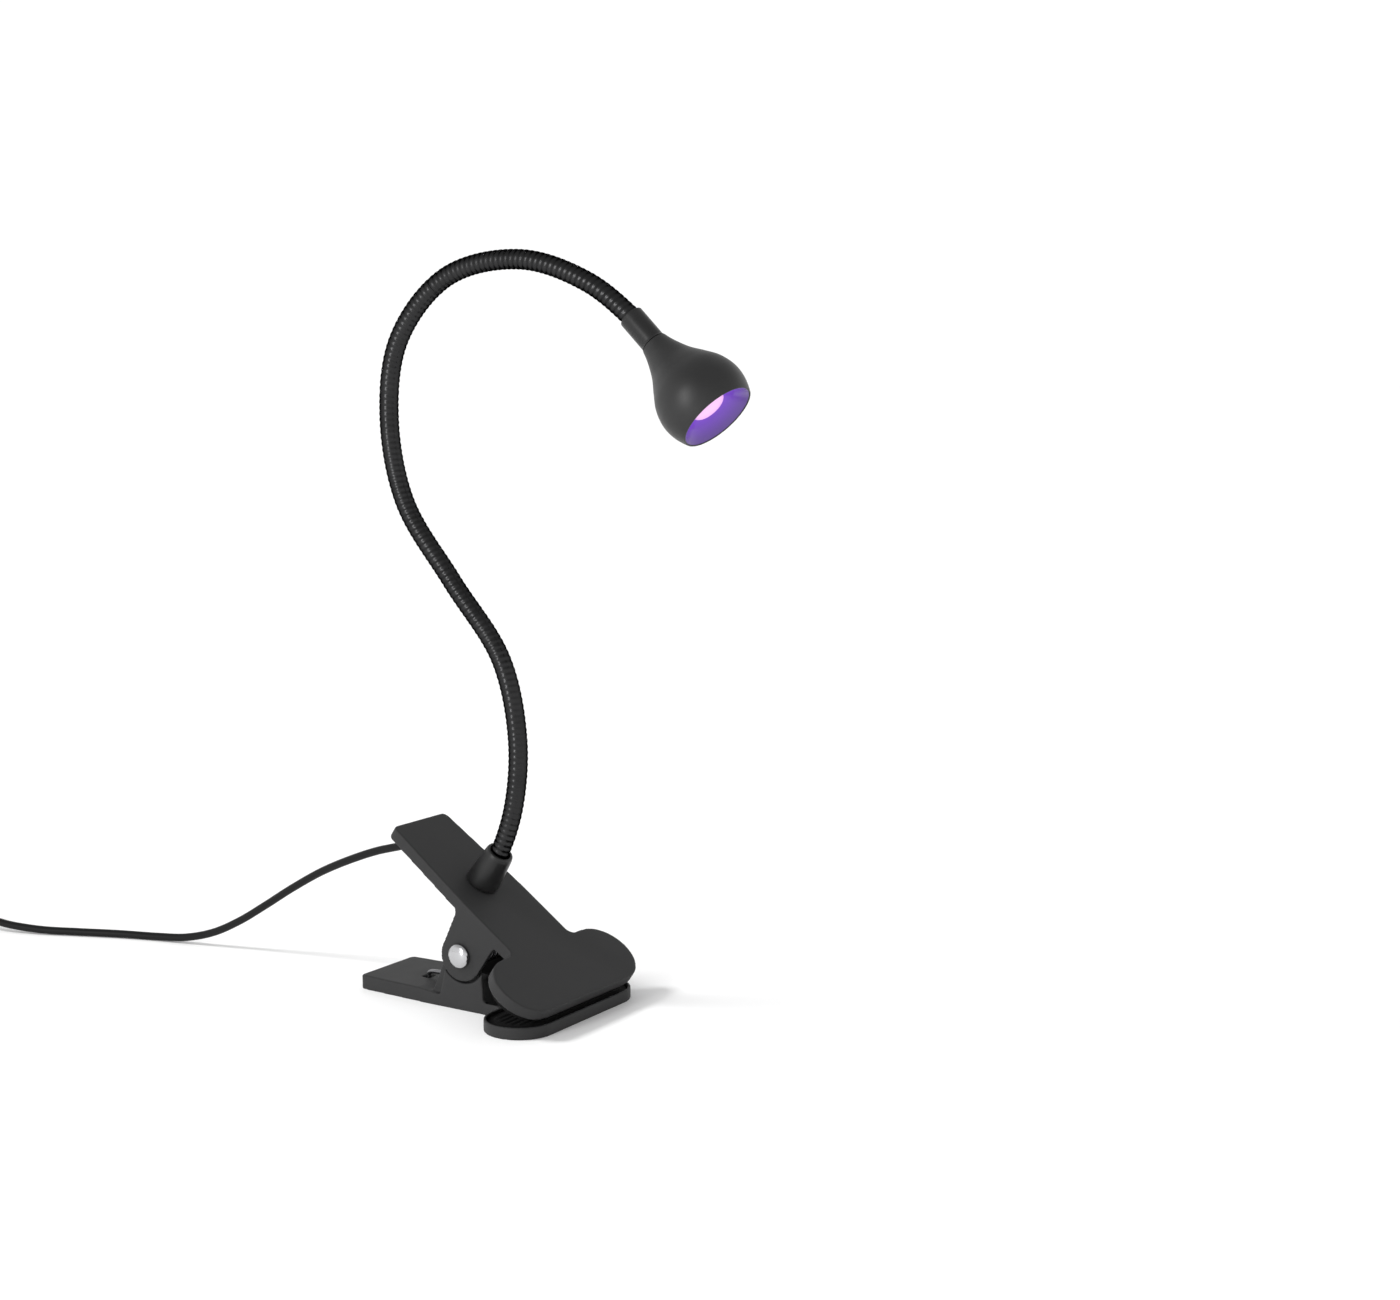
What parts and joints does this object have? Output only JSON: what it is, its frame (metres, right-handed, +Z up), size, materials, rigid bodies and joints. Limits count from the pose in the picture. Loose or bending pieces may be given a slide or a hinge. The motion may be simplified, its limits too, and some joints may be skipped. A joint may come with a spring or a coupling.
{
  "type": "uv curing lamp",
  "caption": "Clip-on UV curing lamp: sprung two-lever clamp, flexible wound neck, small bell-shaped LED head, USB lead with inline push switch.",
  "frame": {"origin": "on the flat underside of the lower lever, straight below the hinge pin", "axes": "+X from the clamp's handles to its jaws, +Y along the hinge pin, +Z up"},
  "size_m": [0.4523, 0.0911, 0.2658],
  "materials": {
    "black_plastic": "matte moulded plastic with a fine grain",
    "rubber": "soft dark rubber",
    "chrome": "polished",
    "spring_steel": "bright steel",
    "neck_steel": "black coated wound steel, satin",
    "black_metal": "black, satin",
    "cord_jacket": "black soft jacket, satin",
    "heat_sink_metal": "bare",
    "violet_cup": "glossy, lit violet",
    "lens_resin": "clear resin, lit pink",
    "white_board": "white"
  },
  "bodies": {
    "lower_jaw": {"lower_lever": "black_plastic", "lower_jaw_pad": "rubber", "hinge_pin": "chrome", "pin_push_cap": "chrome", "torsion_spring": "spring_steel", "lamp_cord": "cord_jacket", "usb_cord": "cord_jacket", "usb_tail": "cord_jacket", "cord_coil": "cord_jacket", "coil_tie": "black_plastic", "switch_base": "black_plastic", "switch_cover": "black_plastic", "switch_contact": "spring_steel", "switch_relief_lamp": "rubber", "switch_relief_usb": "rubber", "plug_relief": "rubber", "plug_overmould": "black_plastic", "plug_shell": "chrome", "plug_tongue": "white_board"},
    "upper_jaw": {"upper_lever": "black_plastic", "upper_jaw_pad": "rubber", "neck_collar": "black_metal", "mount_stud": "spring_steel", "mount_washer": "spring_steel", "mount_nut": "spring_steel", "lead_feed": "cord_jacket", "cable_saddle": "black_plastic", "neck_armour_1": "neck_steel", "neck_lead_1": "cord_jacket"},
    "neck_1": {"neck_armour_2": "neck_steel", "neck_lead_2": "cord_jacket"},
    "neck_2": {"neck_armour_3": "neck_steel", "neck_lead_3": "cord_jacket"},
    "neck_3": {"neck_armour_4": "neck_steel", "neck_lead_4": "cord_jacket"},
    "neck_4": {"neck_armour_5": "neck_steel", "neck_lead_5": "cord_jacket"},
    "neck_5": {"neck_armour_6": "neck_steel", "neck_lead_6": "cord_jacket"},
    "neck_6": {"neck_armour_7": "neck_steel", "neck_lead_7": "cord_jacket"},
    "head": {"neck_armour_8": "neck_steel", "neck_lead_8": "cord_jacket", "neck_sleeve": "black_metal", "bell_shell": "black_plastic", "heat_sink": "heat_sink_metal", "led_board": "white_board", "led_package": "white_board", "led_lens": "lens_resin", "reflector_cup": "violet_cup"},
    "push_button": {"switch_button": "black_plastic"}
  },
  "joints": [
    {"name": "clamp_open", "type": "hinge", "parent": "lower_jaw", "child": "upper_jaw", "pos_m": [0, 0, 0.02], "axis": [0, -1, 0], "range_deg": [0, 40], "stiffness_Nm_per_rad": 0.6, "springref_deg": -34.38, "deforming": ["torsion_spring", "lamp_cord"]},
    {"name": "neck_bend_1", "type": "hinge", "parent": "upper_jaw", "child": "neck_1", "pos_m": [0.01256, 0, 0.07582], "axis": [0, 1, 0], "range_deg": [-40, 40]},
    {"name": "neck_sway_1", "type": "hinge", "parent": "neck_1", "child": "neck_2", "pos_m": [0.00874, 0, 0.12013], "axis": [0.9274, 0, 0.374], "range_deg": [-40, 40]},
    {"name": "neck_bend_2", "type": "hinge", "parent": "neck_2", "child": "neck_3", "pos_m": [-0.0187, 0, 0.15556], "axis": [0, 1, 0], "range_deg": [-40, 40]},
    {"name": "neck_sway_2", "type": "hinge", "parent": "neck_3", "child": "neck_4", "pos_m": [-0.04056, 0, 0.19409], "axis": [0.9821, 0, 0.1886], "range_deg": [-40, 40]},
    {"name": "neck_bend_3", "type": "hinge", "parent": "neck_4", "child": "neck_5", "pos_m": [-0.03535, 0, 0.23785], "axis": [0, 1, 0], "range_deg": [-40, 40]},
    {"name": "neck_sway_3", "type": "hinge", "parent": "neck_5", "child": "neck_6", "pos_m": [0.00121, 0, 0.26147], "axis": [-0.1435, 0, 0.9896], "range_deg": [-40, 40]},
    {"name": "head_tilt", "type": "hinge", "parent": "neck_6", "child": "head", "pos_m": [0.04496, 0, 0.25432], "axis": [0, 1, 0], "range_deg": [-40, 40]},
    {"name": "switch_press", "type": "slide", "parent": "lower_jaw", "child": "push_button", "axis": [0, 0, -1], "range_m": [0, 0.0012], "stiffness_N_per_m": 800, "springref_m": -0.001}
  ]
}
